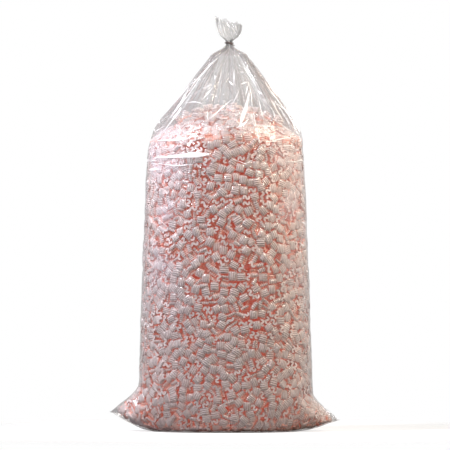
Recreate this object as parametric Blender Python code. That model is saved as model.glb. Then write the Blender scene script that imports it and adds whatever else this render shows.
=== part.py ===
"""A tied clear polythene bag of loose-fill packing peanuts, standing on its base.

Metres, +Z up. The origin is the middle of the foot on the floor, +X is the bag's right seen from
the front, and the front faces -Y. The pieces are the film bag, the wire tie round its neck, the
heap of peanuts inside as one fused solid, and the loose peanuts that lie on top of the heap.
"""

import math
import random

import bmesh
import bpy
from mathutils import Matrix, Vector
from mathutils.bvhtree import BVHTree

# The standing bag
FOOT_WIDTH = 0.560
FOOT_DEPTH = 0.500
WIDEST_HEIGHT = 0.180
BODY_WIDTH_LOW = 0.668
BODY_DEPTH_LOW = 0.610
BODY_WIDTH_HIGH = 0.612
BODY_DEPTH_HIGH = 0.560
SHOULDER_HEIGHT = 1.050
SHOULDER_ROUNDING = 0.024
FOOT_ROUNDNESS = 2.6
LEAN_HEIGHT = 1.250
FILM_THICKNESS = 0.00005
WRINKLE_HEIGHT = 0.003

# The gathered top: cone, neck and open mouth
GATHER_HEIGHT = 1.425
GATHER_RADIUS = 0.082
CONE_SLOPE = 0.80
NECK_HEIGHT = 1.476
NECK_LENGTH = 0.008
NECK_RADIUS = 0.015
NECK_CHANNEL_RADIUS = 0.0016
NECK_SHIFT = 0.014
MOUTH_HEIGHT = 1.558
MOUTH_HALF_WIDTH = 0.055
MOUTH_HALF_DEPTH = 0.042
MOUTH_SHIFT = 0.013
MOUTH_TILT = 0.30
MOUTH_RUFFLE = 0.008
MOUTH_PROFILE = ((0.12, 0.16), (0.42, 0.74), (0.72, 0.96), (1.0, 1.0))
PLEATS = 20
PLEAT_DEPTH = 0.028
PLEAT_SHARE = 0.45
SHALLOWEST_PLEAT = 0.4
PLEAT_FADE = 0.16

# The two corners of the flat bottom seam, which stand out at the sides
LEFT_EAR_REACH = 0.447
LEFT_EAR_HEIGHT = 0.072
RIGHT_EAR_REACH = 0.442
RIGHT_EAR_HEIGHT = 0.040
LEFT_EAR_TOP = 0.172
RIGHT_EAR_TOP = 0.138
EAR_SPREAD = math.radians(38)
EAR_NARROWING = 1.5
EAR_FALL = 1.2
EAR_ANGLE_DRAW = 0.22

# The peanuts
PEANUT_LENGTH = 0.044
PEANUT_WIDTH = 0.036
PEANUT_HEIGHT = 0.022
PEANUT_WALL = 0.009
LOOSE_PEANUTS = 30
LOOSE_MARGIN = 0.075
LOOSE_ON_END_EVERY = 4
HEAP_TOP_DROP = 0.255
HEAP_EDGE_DROP = 0.360
HEAP_CLEARANCE = 0.0045
HEAP_EAR_SHARE = 0.80
CREVICE_DEPTH = 0.016
CREVICE_VARIATION = 0.006
RIDGE_INSET = 0.27
CELL_SHIFT = 0.24
CELL_RISE = 0.26
ROW_WAVE = 0.45
TOP_SHIFT = 0.2
SEAT_GAP = 0.0003

# The wire tie
TIE_WIRE_RADIUS = 0.0008
TIE_CLEARANCE = 0.0005
TIE_TURNS = 2
TIE_TAIL_LENGTH = 0.027
TIE_TWISTS = 3
TIE_TAIL_WAY = (0.68, -0.46, -0.42)

# How finely the curved forms are divided
FILM_SEGMENTS = 2 * PLEATS
FOOT_ROWS = 6
BODY_ROWS = 5
CONE_ROWS = 6
HEAP_CELLS_ACROSS = 11
HEAP_ROWS = 20
PROFILE_STEPS = 5
TIE_SEGMENTS = 12
SEED = 14


def smooth_step(value, start, end):
    share = min(1.0, max(0.0, (value - start) / (end - start)))
    return share * share * (3 - 2 * share)


def soft_lower(first, second, rounding):
    """The lower of two lines, rounded where they cross."""
    return 0.5 * (first + second - math.hypot(first - second, 2 * rounding))


def half_span(height, foot, low, high, cone_share):
    """Half the bag's width or depth at a height between the floor and the gather."""
    taper = (height - WIDEST_HEIGHT) / (SHOULDER_HEIGHT - WIDEST_HEIGHT)
    body = (low + (high - low) * taper) / 2
    cone = GATHER_RADIUS + (GATHER_HEIGHT - height) * CONE_SLOPE * cone_share
    span = soft_lower(body, cone, SHOULDER_ROUNDING)
    if height < WIDEST_HEIGHT:
        roll = (1 - (1 - height / WIDEST_HEIGHT) ** FOOT_ROUNDNESS) ** (1 / FOOT_ROUNDNESS)
        span = foot / 2 + (span - foot / 2) * roll
    return span


def half_spans(height):
    depth_share = BODY_DEPTH_HIGH / BODY_WIDTH_HIGH
    return (
        half_span(height, FOOT_WIDTH, BODY_WIDTH_LOW, BODY_WIDTH_HIGH, 1.0),
        half_span(height, FOOT_DEPTH, BODY_DEPTH_LOW, BODY_DEPTH_HIGH, depth_share),
    )


def foot_height(row):
    """The height of one of the rows that round the foot, which lie closest together low down."""
    return WIDEST_HEIGHT * (1 - math.cos(math.pi / 2 * row / FOOT_ROWS))


def ear_pull(angle, height, share):
    """How far a point of the lower bag is drawn out sideways and lifted towards the seam's corner."""
    if math.cos(angle) > 0:
        side, reach, tip, top = 1, RIGHT_EAR_REACH, RIGHT_EAR_HEIGHT, RIGHT_EAR_TOP
    else:
        side, reach, tip, top = -1, LEFT_EAR_REACH, LEFT_EAR_HEIGHT, LEFT_EAR_TOP
    off_axis = abs(math.atan2(math.sin(angle), abs(math.cos(angle))))
    narrow = max(0.0, 1 - off_axis / EAR_SPREAD) ** EAR_NARROWING
    seam_height = foot_height(FOOT_ROWS // 2)
    if height > seam_height:
        near = max(0.0, (top - height) / (top - seam_height)) ** EAR_FALL
    else:
        near = height / seam_height
    out = side * (reach - half_spans(seam_height)[0]) * narrow * near * share
    return out, (tip - seam_height) * narrow * near


def neck_lean(height):
    return NECK_SHIFT * smooth_step(height, SHOULDER_HEIGHT, LEAN_HEIGHT)


def wall_point(angle, height, inward=0.0, ear_share=1.0):
    """A point of the bag's body, moved straight inwards by a clearance."""
    half_width, half_depth = half_spans(height)
    out, lift = ear_pull(angle, height, ear_share)
    return Vector(
        (
            (half_width - inward) * math.cos(angle) + out + neck_lean(height),
            (half_depth - inward) * math.sin(angle),
            height + lift,
        )
    )


def ring_angle(index, count, height):
    """Even angles, drawn together towards the two ears low down on the bag."""
    even = 2 * math.pi * index / count
    low = 1 - smooth_step(height, 0, 2 * WIDEST_HEIGHT)
    return even - EAR_ANGLE_DRAW * low * math.sin(2 * even)


def mesh_object(name, bm, material):
    mesh = bpy.data.meshes.new(name)
    bm.to_mesh(mesh)
    bm.free()
    mesh.materials.append(material)
    obj = bpy.data.objects.new(name, mesh)
    bpy.context.scene.collection.objects.link(obj)
    return obj


def plastic(name, colour, roughness, alpha=1.0):
    material = bpy.data.materials.new(name)
    material.use_nodes = True
    shader = material.node_tree.nodes["Principled BSDF"]
    shader.inputs["Base Color"].default_value = (*colour, 1.0)
    shader.inputs["Roughness"].default_value = roughness
    shader.inputs["Alpha"].default_value = alpha
    return material


def bridge_rings(bm, rings):
    for lower, upper in zip(rings, rings[1:]):
        for i in range(len(lower)):
            j = (i + 1) % len(lower)
            bm.faces.new((lower[i], lower[j], upper[j], upper[i]))


def body_heights():
    """Ring heights from the foot's edge up to the gather, closest together low down."""
    foot = [foot_height(k) for k in range(FOOT_ROWS)]
    body_step = (SHOULDER_HEIGHT - WIDEST_HEIGHT) / BODY_ROWS
    cone_step = (GATHER_HEIGHT - SHOULDER_HEIGHT) / CONE_ROWS
    body = [WIDEST_HEIGHT + body_step * k for k in range(BODY_ROWS)]
    cone = [SHOULDER_HEIGHT + cone_step * k for k in range(CONE_ROWS + 1)]
    return foot + body + cone


def body_rings(rng, folds):
    """The film from the foot to the gather: pressed and wrinkled by the peanuts, then pleated."""
    heap_edge = NECK_HEIGHT - HEAP_EDGE_DROP
    rings = []
    for height in body_heights():
        pleated = smooth_step(height, heap_edge, heap_edge + PLEAT_FADE)
        pressed = smooth_step(height, 0, WIDEST_HEIGHT) * (1 - pleated)
        depth = min(PLEAT_DEPTH, PLEAT_SHARE * half_spans(height)[1]) * pleated
        ring = []
        for i in range(FILM_SEGMENTS):
            inward = depth * folds[i] - WRINKLE_HEIGHT * rng.random() * pressed
            ring.append(wall_point(ring_angle(i, FILM_SEGMENTS, height), height, inward))
        rings.append(ring)
    return rings


def neck_rings():
    """The pinched stretch that the tie holds: every second edge is folded in to the channel."""
    rings = []
    for height in (NECK_HEIGHT - NECK_LENGTH / 2, NECK_HEIGHT + NECK_LENGTH / 2):
        ring = []
        for i in range(FILM_SEGMENTS):
            angle = 2 * math.pi * i / FILM_SEGMENTS
            radius = NECK_CHANNEL_RADIUS if i % 2 else NECK_RADIUS
            x = neck_lean(height) + radius * math.cos(angle)
            ring.append(Vector((x, radius * math.sin(angle), height)))
        rings.append(ring)
    return rings


def mouth_rings(rng, folds):
    """The flared, ruffled end above the tie, higher on the left."""
    start = NECK_HEIGHT + NECK_LENGTH / 2
    ruffles = [rng.uniform(-1.0, 1.0) for _ in range(FILM_SEGMENTS)]
    rings = []
    for share, spread in MOUTH_PROFILE:
        ring = []
        for i in range(FILM_SEGMENTS):
            angle = 2 * math.pi * i / FILM_SEGMENTS
            pinch = 1 - PLEAT_SHARE * folds[i]
            half_width = (NECK_RADIUS + (MOUTH_HALF_WIDTH - NECK_RADIUS) * spread) * pinch
            half_depth = (NECK_RADIUS + (MOUTH_HALF_DEPTH - NECK_RADIUS) * spread) * pinch
            x = half_width * math.cos(angle)
            middle = NECK_SHIFT + (MOUTH_SHIFT - NECK_SHIFT) * share
            rise = (MOUTH_HEIGHT - start) * share - MOUTH_TILT * x * share
            rise += MOUTH_RUFFLE * share * ruffles[i]
            ring.append(Vector((middle + x, half_depth * math.sin(angle), start + rise)))
        rings.append(ring)
    return rings


def make_film(rng, material):
    folds = [rng.uniform(SHALLOWEST_PLEAT, 1.0) if i % 2 else 0.0 for i in range(FILM_SEGMENTS)]
    outline = body_rings(rng, folds) + neck_rings() + mouth_rings(rng, folds)
    bm = bmesh.new()
    rings = [[bm.verts.new(point) for point in ring] for ring in outline]
    bridge_rings(bm, rings)
    bm.faces.new(list(reversed(rings[0])))
    film = mesh_object("film_bag", bm, material)
    wall = film.modifiers.new("wall", "SOLIDIFY")
    wall.thickness = FILM_THICKNESS
    wall.offset = -1.0


def disc_point(u, v):
    """A point of the square from -1 to 1 moved onto the round disc."""
    return u * math.sqrt(1 - v * v / 2), v * math.sqrt(1 - u * u / 2)


def heap_sides(bm, rng, rim_angles):
    """Staggered, uneven rows of cells that follow the film from the floor to the heap's edge."""
    edge_height = NECK_HEIGHT - HEAP_EDGE_DROP
    row_height = edge_height / HEAP_ROWS
    pitch = 2 * math.pi / len(rim_angles)
    rings = []
    for row in range(HEAP_ROWS + 1):
        loose = 0 < row < HEAP_ROWS
        stagger = pitch / 4 if row % 2 else -pitch / 4
        ring = []
        for angle in rim_angles:
            wave = ROW_WAVE * math.sin(3 * angle + row) * math.sin(math.pi * row / HEAP_ROWS)
            shift = loose * (stagger + pitch * rng.uniform(-CELL_SHIFT, CELL_SHIFT))
            rise = loose * (wave + rng.uniform(-CELL_RISE, CELL_RISE))
            height = row_height * (row + rise)
            point = wall_point(angle + shift, height, HEAP_CLEARANCE, HEAP_EAR_SHARE)
            ring.append(bm.verts.new(point))
        rings.append(ring)
    bridge_rings(bm, rings)
    bm.faces.new(list(reversed(rings[0])))
    return rings[-1]


def heap_top(bm, rng, rim):
    """The domed top: a square grid of cells bent to the round rim."""
    n = HEAP_CELLS_ACROSS
    edge_height = NECK_HEIGHT - HEAP_EDGE_DROP
    rise = HEAP_EDGE_DROP - HEAP_TOP_DROP
    half_width, half_depth = (span - HEAP_CLEARANCE for span in half_spans(edge_height))
    grid = {}
    for i in range(n + 1):
        for j in range(n + 1):
            if (i, j) in rim:
                grid[i, j] = rim[i, j]
                continue
            x, y = disc_point(2 * i / n - 1, 2 * j / n - 1)
            x += rng.uniform(-TOP_SHIFT, TOP_SHIFT) / n
            y += rng.uniform(-TOP_SHIFT, TOP_SHIFT) / n
            height = edge_height + rise * (1 - x * x - y * y)
            place = (neck_lean(edge_height) + half_width * x, half_depth * y, height)
            grid[i, j] = bm.verts.new(place)
    for i in range(n):
        for j in range(n):
            bm.faces.new((grid[i, j], grid[i + 1, j], grid[i + 1, j + 1], grid[i, j + 1]))


def raise_ridge(bm, cell, ridge):
    """Turns one sunk cell into the rounded back of one peanut, up to its ridge's two ends."""
    a, b, c, d = cell
    start, end = (bm.verts.new(point) for point in ridge)
    bm.faces.new((a, b, start))
    bm.faces.new((b, c, end, start))
    bm.faces.new((c, d, end))
    bm.faces.new((d, a, start, end))


def make_heap(rng, material):
    """The mass of peanuts: each cell is one peanut's back, with crevices between them."""
    n = HEAP_CELLS_ACROSS
    rim_cells = [(k, 0) for k in range(n)] + [(n, k) for k in range(n)]
    rim_cells += [(n - k, n) for k in range(n)] + [(0, n - k) for k in range(n)]
    rim_angles = []
    for i, j in rim_cells:
        x, y = disc_point(2 * i / n - 1, 2 * j / n - 1)
        rim_angles.append(math.atan2(y, x))

    bm = bmesh.new()
    rim = heap_sides(bm, rng, rim_angles)
    heap_top(bm, rng, dict(zip(rim_cells, rim)))
    bm.normal_update()
    base = next(face for face in bm.faces if len(face.verts) > 4)
    foot = set(base.verts)

    ridges = []
    for face in list(bm.faces):
        if face is base:
            continue
        turned = rng.randrange(2)
        cell = list(face.verts)[turned:] + list(face.verts)[:turned]
        first = (cell[0].co + cell[1].co) / 2 - face.normal * CREVICE_VARIATION * rng.random()
        last = (cell[2].co + cell[3].co) / 2 - face.normal * CREVICE_VARIATION * rng.random()
        ridges.append((cell, (first.lerp(last, RIDGE_INSET), last.lerp(first, RIDGE_INSET))))
        bm.faces.remove(face)

    floor = FILM_THICKNESS + SEAT_GAP
    sunk = [(vert, vert.co - vert.normal * CREVICE_DEPTH) for vert in bm.verts if vert not in foot]
    for vert, place in sunk:
        vert.co = place
        vert.co.z = max(place.z, 2 * floor)
    for vert in foot:
        vert.co.xy -= vert.co.xy.normalized() * CREVICE_DEPTH
        vert.co.z = floor
    for edge in bm.edges:
        edge.smooth = False
    for cell, ridge in ridges:
        raise_ridge(bm, cell, ridge)
    bmesh.ops.triangulate(bm, faces=bm.faces)
    heap = mesh_object("peanut_heap", bm, material)
    heap.data.shade_smooth()
    return heap


def peanut_profile():
    """The S-shaped end view: a wavy strip with pointed ends, as points round its outline."""
    wave_length = PEANUT_LENGTH - PEANUT_WALL
    rise = (PEANUT_HEIGHT - PEANUT_WALL) / 2
    steepest = rise * 2 * math.pi / wave_length
    upper, lower = [], []
    for k in range(PROFILE_STEPS + 1):
        share = k / PROFILE_STEPS
        centre = Vector((wave_length * (share - 0.5), rise * math.sin(2 * math.pi * share)))
        slope = steepest * math.cos(2 * math.pi * share)
        side = Vector((-slope, 1)).normalized() * PEANUT_WALL / 2
        upper.append(centre + side)
        lower.append(centre - side)
    along = Vector((1, steepest)).normalized() * PEANUT_WALL / 2
    start = Vector((-wave_length / 2, 0)) - along
    end = Vector((wave_length / 2, 0)) + along
    return [start, *lower, end, *reversed(upper)]


def peanut_mesh(material):
    bm = bmesh.new()
    outline = [bm.verts.new((p.x, p.y, -PEANUT_WIDTH / 2)) for p in peanut_profile()]
    base = bm.faces.new(outline)
    made = bmesh.ops.extrude_face_region(bm, geom=[base])["geom"]
    top = [item for item in made if isinstance(item, bmesh.types.BMVert)]
    bmesh.ops.translate(bm, verts=top, vec=(0, 0, PEANUT_WIDTH))
    bmesh.ops.recalc_face_normals(bm, faces=bm.faces)
    bmesh.ops.triangulate(bm, faces=bm.faces)
    mesh = bpy.data.meshes.new("loose_peanut")
    bm.to_mesh(mesh)
    bm.free()
    mesh.materials.append(material)
    mesh.shade_smooth()
    mesh.set_sharp_from_angle(angle=math.radians(50))
    return mesh


def surface_tree(mesh, place):
    points = [place @ vert.co for vert in mesh.vertices]
    return BVHTree.FromPolygons(points, [tuple(face.vertices) for face in mesh.polygons])


def seat(mesh, turn, x, y, start, neighbours):
    """Lowers the turned peanut until it would touch, and leaves the seat's gap."""

    def touches(height):
        tree = surface_tree(mesh, Matrix.Translation((x, y, height)) @ turn)
        return any(tree.overlap(other) for other in neighbours)

    step = PEANUT_WALL / 2
    clear = start
    while not touches(clear - step):
        clear -= step
    low = clear - step
    while clear - low > SEAT_GAP / 10:
        middle = (low + clear) / 2
        if touches(middle):
            low = middle
        else:
            clear = middle
    return Matrix.Translation((x, y, clear + SEAT_GAP)) @ turn


def make_loose_peanuts(rng, heap, material):
    """Peanuts that lie on the heap, spread evenly over its top by the golden angle."""
    mesh = peanut_mesh(material)
    neighbours = [surface_tree(heap.data, Matrix.Identity(4))]
    start = NECK_HEIGHT - HEAP_TOP_DROP + 2 * PEANUT_LENGTH
    golden_angle = math.pi * (3 - math.sqrt(5))
    half_width, half_depth = half_spans(NECK_HEIGHT - HEAP_EDGE_DROP)
    rise = HEAP_EDGE_DROP - HEAP_TOP_DROP
    for k in range(LOOSE_PEANUTS):
        out = math.sqrt((k + 0.5) / LOOSE_PEANUTS)
        x = (half_width - LOOSE_MARGIN) * out * math.cos(k * golden_angle)
        y = (half_depth - LOOSE_MARGIN) * out * math.sin(k * golden_angle)
        on_back = k % LOOSE_ON_END_EVERY != 0
        lie = Matrix.Rotation(math.pi / 2 * on_back, 4, "X")
        yaw = Matrix.Rotation(rng.uniform(0, 2 * math.pi), 4, "Z")
        upward = Vector((2 * rise * x / half_width**2, 2 * rise * y / half_depth**2, 1))
        lean = upward.to_track_quat("Z", "Y").to_matrix().to_4x4()
        place = seat(mesh, lean @ yaw @ lie, x + neck_lean(start), y, start, neighbours)
        neighbours.append(surface_tree(mesh, place))
        peanut = bpy.data.objects.new(f"loose_peanut_{k + 1:02d}", mesh)
        peanut.matrix_world = place
        bpy.context.scene.collection.objects.link(peanut)


def tie_path():
    """One wire: up the twisted tail, round the neck, and back down the tail."""
    ring_radius = NECK_RADIUS + TIE_CLEARANCE + TIE_WIRE_RADIUS
    pitch = 2 * TIE_WIRE_RADIUS + TIE_CLEARANCE
    strand_offset = pitch / 2
    centre = Vector((neck_lean(NECK_HEIGHT), 0, NECK_HEIGHT))
    tail_start = centre - Vector((0, ring_radius + 2 * pitch, 0))
    tail_way = Vector(TIE_TAIL_WAY).normalized()
    upward = (Vector((0, 0, 1)) - tail_way * tail_way.z).normalized()
    sideways = tail_way.cross(upward)

    def strand(phase):
        points = []
        steps = 4 * TIE_TWISTS
        for k in range(steps + 1):
            turn = 2 * math.pi * TIE_TWISTS * k / steps + phase
            swing = upward * math.cos(turn) + sideways * math.sin(turn)
            points.append(tail_start + tail_way * TIE_TAIL_LENGTH * k / steps + swing * strand_offset)
        return points

    ring = []
    steps = TIE_TURNS * TIE_SEGMENTS
    for k in range(1, steps):
        angle = 2 * math.pi * TIE_TURNS * k / steps - math.pi / 2
        rise = pitch * TIE_TURNS * (k / steps - 0.5)
        ring.append(centre + Vector((ring_radius * math.cos(angle), ring_radius * math.sin(angle), rise)))
    return [*reversed(strand(math.pi)), *ring, *strand(0)]


def make_tie(material):
    curve = bpy.data.curves.new("wire_tie", "CURVE")
    curve.dimensions = "3D"
    curve.bevel_depth = TIE_WIRE_RADIUS
    curve.bevel_resolution = 0
    curve.use_fill_caps = True
    points = tie_path()
    spline = curve.splines.new("POLY")
    spline.points.add(len(points) - 1)
    for knot, point in zip(spline.points, points):
        knot.co = (*point, 1.0)
    curve.materials.append(material)
    tie = bpy.data.objects.new("wire_tie", curve)
    bpy.context.scene.collection.objects.link(tie)


def main():
    for obj in list(bpy.data.objects):
        bpy.data.objects.remove(obj)
    rng = random.Random(SEED)
    clear_film = plastic("clear_film", (0.90, 0.91, 0.91), 0.12, 0.25)
    pink_foam = plastic("pink_foam", (0.93, 0.66, 0.62), 0.75)
    dark_wire = plastic("dark_wire", (0.06, 0.04, 0.03), 0.5)
    make_film(rng, clear_film)
    heap = make_heap(rng, pink_foam)
    make_loose_peanuts(rng, heap, pink_foam)
    make_tie(dark_wire)


main()
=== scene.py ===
# Looks for a clear film bag of pink packing peanuts, tied at the neck and standing on its base.
# Metres, Z up, the bag's front faces -Y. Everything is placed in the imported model's frame.
import math
import random

import bmesh
import bpy
import numpy as np
from mathutils import Matrix, Vector, noise
from mathutils.bvhtree import BVHTree
from mathutils.kdtree import KDTree


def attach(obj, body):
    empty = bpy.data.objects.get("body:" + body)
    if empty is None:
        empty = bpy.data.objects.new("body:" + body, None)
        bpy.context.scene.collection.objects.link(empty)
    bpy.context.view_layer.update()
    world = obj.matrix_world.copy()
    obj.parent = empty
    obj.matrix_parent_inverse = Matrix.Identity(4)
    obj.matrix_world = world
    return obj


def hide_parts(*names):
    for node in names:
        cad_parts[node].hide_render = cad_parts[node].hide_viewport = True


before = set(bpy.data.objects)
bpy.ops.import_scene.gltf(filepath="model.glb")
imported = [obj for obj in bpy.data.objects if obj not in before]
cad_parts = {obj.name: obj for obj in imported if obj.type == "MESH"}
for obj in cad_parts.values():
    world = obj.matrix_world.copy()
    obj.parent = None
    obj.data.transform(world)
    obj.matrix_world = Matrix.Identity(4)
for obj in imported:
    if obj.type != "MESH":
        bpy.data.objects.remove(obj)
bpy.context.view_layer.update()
print("frame loaded:", len(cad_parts), "nodes")

# The bag's form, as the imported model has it
bag = {
    "footWidth": 0.560, "footDepth": 0.500, "footRoll": 2.6,
    "widestHeight": 0.180, "widthLow": 0.668, "depthLow": 0.610,
    "shoulderHeight": 1.050, "widthHigh": 0.612, "depthHigh": 0.560, "shoulderRounding": 0.024,
    "gatherHeight": 1.425, "gatherRadius": 0.082, "coneSlope": 0.80,
    "neckLow": 1.472, "neckHigh": 1.480, "neckRadius": 0.015,
    "neckShift": 0.014, "leanHeight": 1.250,
    "mouthHeight": 1.558, "mouthHalfWidth": 0.055, "mouthHalfDepth": 0.042,
    "mouthShift": 0.013, "mouthTilt": 0.30,
    "heapEdge": 1.116, "heapTop": 1.221,
    "earReach": {1: 0.442, -1: 0.447}, "earTip": {1: 0.040, -1: 0.072}, "earTop": {1: 0.138, -1: 0.172},
    "earSpread": math.radians(38), "earNarrowing": 1.5, "earFall": 1.2,
    "seamHeight": 0.0527, "cornerDraw": 0.22,
}


def smoothStep(value, start, end):
    share = np.clip((value - start) / (end - start), 0.0, 1.0)
    return share * share * (3 - 2 * share)


def halfSpan(height, foot, low, high, coneShare):
    taper = (height - bag["widestHeight"]) / (bag["shoulderHeight"] - bag["widestHeight"])
    body = (low + (high - low) * taper) / 2
    cone = bag["gatherRadius"] + (bag["gatherHeight"] - height) * bag["coneSlope"] * coneShare
    span = 0.5 * (body + cone - np.hypot(body - cone, 2 * bag["shoulderRounding"]))
    sunk = np.clip(1 - height / bag["widestHeight"], 0.0, 1.0)
    roll = (1 - sunk ** bag["footRoll"]) ** (1 / bag["footRoll"])
    return foot / 2 + (span - foot / 2) * roll


def halfSpans(height):
    depthShare = bag["depthHigh"] / bag["widthHigh"]
    return (halfSpan(height, bag["footWidth"], bag["widthLow"], bag["widthHigh"], 1.0),
            halfSpan(height, bag["footDepth"], bag["depthLow"], bag["depthHigh"], depthShare))


def neckLean(height):
    return bag["neckShift"] * smoothStep(height, bag["shoulderHeight"], bag["leanHeight"])


def wallPoints(angle, height, inward=0.0, earShare=1.0):
    # points of the bag's wall, moved straight inwards, with its two bottom corners drawn out
    angle, height = np.broadcast_arrays(np.asarray(angle, float), np.asarray(height, float))
    halfWidth, halfDepth = halfSpans(height)
    side = np.where(np.cos(angle) > 0, 1, -1)
    earReach, earTip, earTop = (np.where(side > 0, bag[name][1], bag[name][-1])
                                for name in ("earReach", "earTip", "earTop"))
    offAxis = np.abs(np.arctan2(np.sin(angle), np.abs(np.cos(angle))))
    narrow = np.clip(1 - offAxis / bag["earSpread"], 0, 1) ** bag["earNarrowing"]
    seam = bag["seamHeight"]
    above = np.clip((earTop - height) / (earTop - seam), 0, 1) ** bag["earFall"]
    near = np.where(height > seam, above, height / seam)
    reach = earReach - halfSpans(np.float64(seam))[0]
    out = side * reach * narrow * near * earShare
    lift = (earTip - seam) * narrow * near
    return np.stack(((halfWidth - inward) * np.cos(angle) + out + neckLean(height),
                     (halfDepth - inward) * np.sin(angle),
                     height + lift), axis=-1)


def ringAngles(count, height):
    # even angles, drawn together towards the two corners low down
    even = 2 * math.pi * np.arange(count) / count
    low = 1 - smoothStep(height, 0, 2 * bag["widestHeight"])
    return even - bag["cornerDraw"] * low * np.sin(2 * even)


def gridFaces(rows, columns):
    row, column = np.meshgrid(np.arange(rows - 1), np.arange(columns), indexing="ij")
    onward = (column + 1) % columns
    faces = np.stack((row * columns + column, row * columns + onward,
                      (row + 1) * columns + onward, (row + 1) * columns + column), axis=-1)
    return faces.reshape(-1, 4)


def inScene(name, data):
    piece = bpy.data.objects.new(name, data)
    bpy.context.scene.collection.objects.link(piece)
    return piece


def meshObject(name, points, faces, material, smooth=True):
    mesh = bpy.data.meshes.new(name)
    mesh.from_pydata([tuple(p) for p in np.asarray(points).tolist()], [], [tuple(f) for f in faces])
    mesh.materials.append(material)
    if smooth:
        mesh.shade_smooth()
    return inScene(name, mesh)


def meshOf(holder, name):
    # the finished mesh of a curve or of a node tree, which takes their place
    mesh = bpy.data.meshes.new_from_object(holder.evaluated_get(bpy.context.evaluated_depsgraph_get()))
    bpy.data.objects.remove(holder)
    mesh.name = name
    return mesh


def setAttribute(mesh, name, values):
    layer = mesh.attributes.get(name) or mesh.attributes.new(name, "FLOAT", "POINT")
    layer.data.foreach_set("value", np.ascontiguousarray(values, np.float32).ravel())


def meshPoints(mesh):
    points = np.empty(len(mesh.vertices) * 3, np.float32)
    mesh.vertices.foreach_get("co", points)
    return points.reshape(-1, 3).astype(float)


def unit(vectors):
    return vectors / np.maximum(np.linalg.norm(vectors, axis=-1, keepdims=True), 1e-9)


class Wire:
    # a socket of a node tree; sums and products of it add Math nodes
    def __init__(self, finish, socket):
        self.finish, self.socket = finish, socket

    def math(self, operation, *values, clamp=False):
        made = self.finish.tree.nodes.new("ShaderNodeMath")
        made.operation, made.use_clamp = operation, clamp
        for slot, value in zip(made.inputs, values):
            self.finish.feed(slot, value)
        return Wire(self.finish, made.outputs[0])

    def __add__(self, other): return self.math("ADD", self, other)
    def __radd__(self, other): return self.math("ADD", other, self)
    def __sub__(self, other): return self.math("SUBTRACT", self, other)
    def __rsub__(self, other): return self.math("SUBTRACT", other, self)
    def __mul__(self, other): return self.math("MULTIPLY", self, other)
    def __rmul__(self, other): return self.math("MULTIPLY", other, self)
    def __pow__(self, other): return self.math("POWER", self, other)
    def clamped(self): return self.math("ADD", self, 0.0, clamp=True)


class Finish:
    # a material, or the world, built from nodes
    def __init__(self, name, owner=None):
        self.owner = owner or bpy.data.materials.new(name)
        self.owner.use_nodes = True
        self.tree = self.owner.node_tree
        self.tree.nodes.clear()

    def feed(self, slot, value):
        if isinstance(value, Wire):
            self.tree.links.new(value.socket, slot)
        elif isinstance(value, (tuple, list)) and len(value) == 3 and slot.type == "RGBA":
            slot.default_value = (*value, 1.0)
        else:
            slot.default_value = value

    def node(self, kind, settings=None, values=None, out=0):
        made = self.tree.nodes.new(kind)
        for name, setting in (settings or {}).items():
            setattr(made, name, setting)
        for name, value in (values or {}).items():
            self.feed(made.inputs[name], value)
        return Wire(self, made.outputs[out])

    def mix(self, share, first, second):
        return self.node("ShaderNodeMix", {"data_type": "RGBA"}, {0: share, 6: first, 7: second}, 2)

    def blend(self, share, first, second):
        return self.node("ShaderNodeMixShader", None, {0: share, 1: first, 2: second})

    def ease(self, value, start, end):
        return self.node("ShaderNodeMapRange", {"interpolation_type": "SMOOTHSTEP"},
                         {"Value": value, "From Min": start, "From Max": end})

    def bump(self, height, strength, depth, normal=None):
        values = {"Strength": strength, "Distance": depth, "Height": height}
        return self.node("ShaderNodeBump", None, {**values, "Normal": normal} if normal else values)

    def attribute(self, name):
        return self.node("ShaderNodeAttribute", {"attribute_name": name}, None, "Fac")

    def objectPlace(self):
        return self.node("ShaderNodeTexCoord", None, None, "Object")

    def noise(self, scale, detail=2.0, roughness=0.5):
        return self.node("ShaderNodeTexNoise", None, {"Vector": self.objectPlace(), "Scale": scale,
                                                      "Detail": detail, "Roughness": roughness})

    def output(self, surface, kind="ShaderNodeOutputMaterial"):
        end = self.tree.nodes.new(kind)
        self.feed(end.inputs["Surface"], surface)
        return self.owner


foam = {
    "face": (0.98, 0.915, 0.91),         # the outer faces, nearly white
    "blush": (0.96, 0.82, 0.80),         # the pinker ones
    "shadedGroove": (0.80, 0.58, 0.555),       # painted shade between the ribs
    "shadedCrevice": (0.99, 0.54, 0.44),       # painted shade between the peanuts, coral
    "deep": (0.88, 0.25, 0.17),          # painted shade far between them
    "paintedGlow": (0.66, 0.20, 0.13),          # painted glow in the shaded places, for light that the foam lets through down there
    "paintedGlowStrength": 0.18,
    "shadedCreviceDepths": (0.004, 0.016), "deepShadeDepths": (0.018, 0.045),    # where the two painted shades begin and are full
    "shadeJitterScale": 38.0, "shadeJitterDepth": 0.004,
    "ribs": 4.0, "ribDepth": 0.0028, "ribRoundness": 0.75,
    "cellSize": 0.0016, "cellDepth": 0.0003, "cellStrength": 0.35,
    "skinScale": 260.0, "skinShare": 0.8,
    "roughness": 0.28, "roughnessSpread": 0.12, "specular": 0.6, "coat": 1.0, "coatRoughness": 0.13,
}


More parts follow.
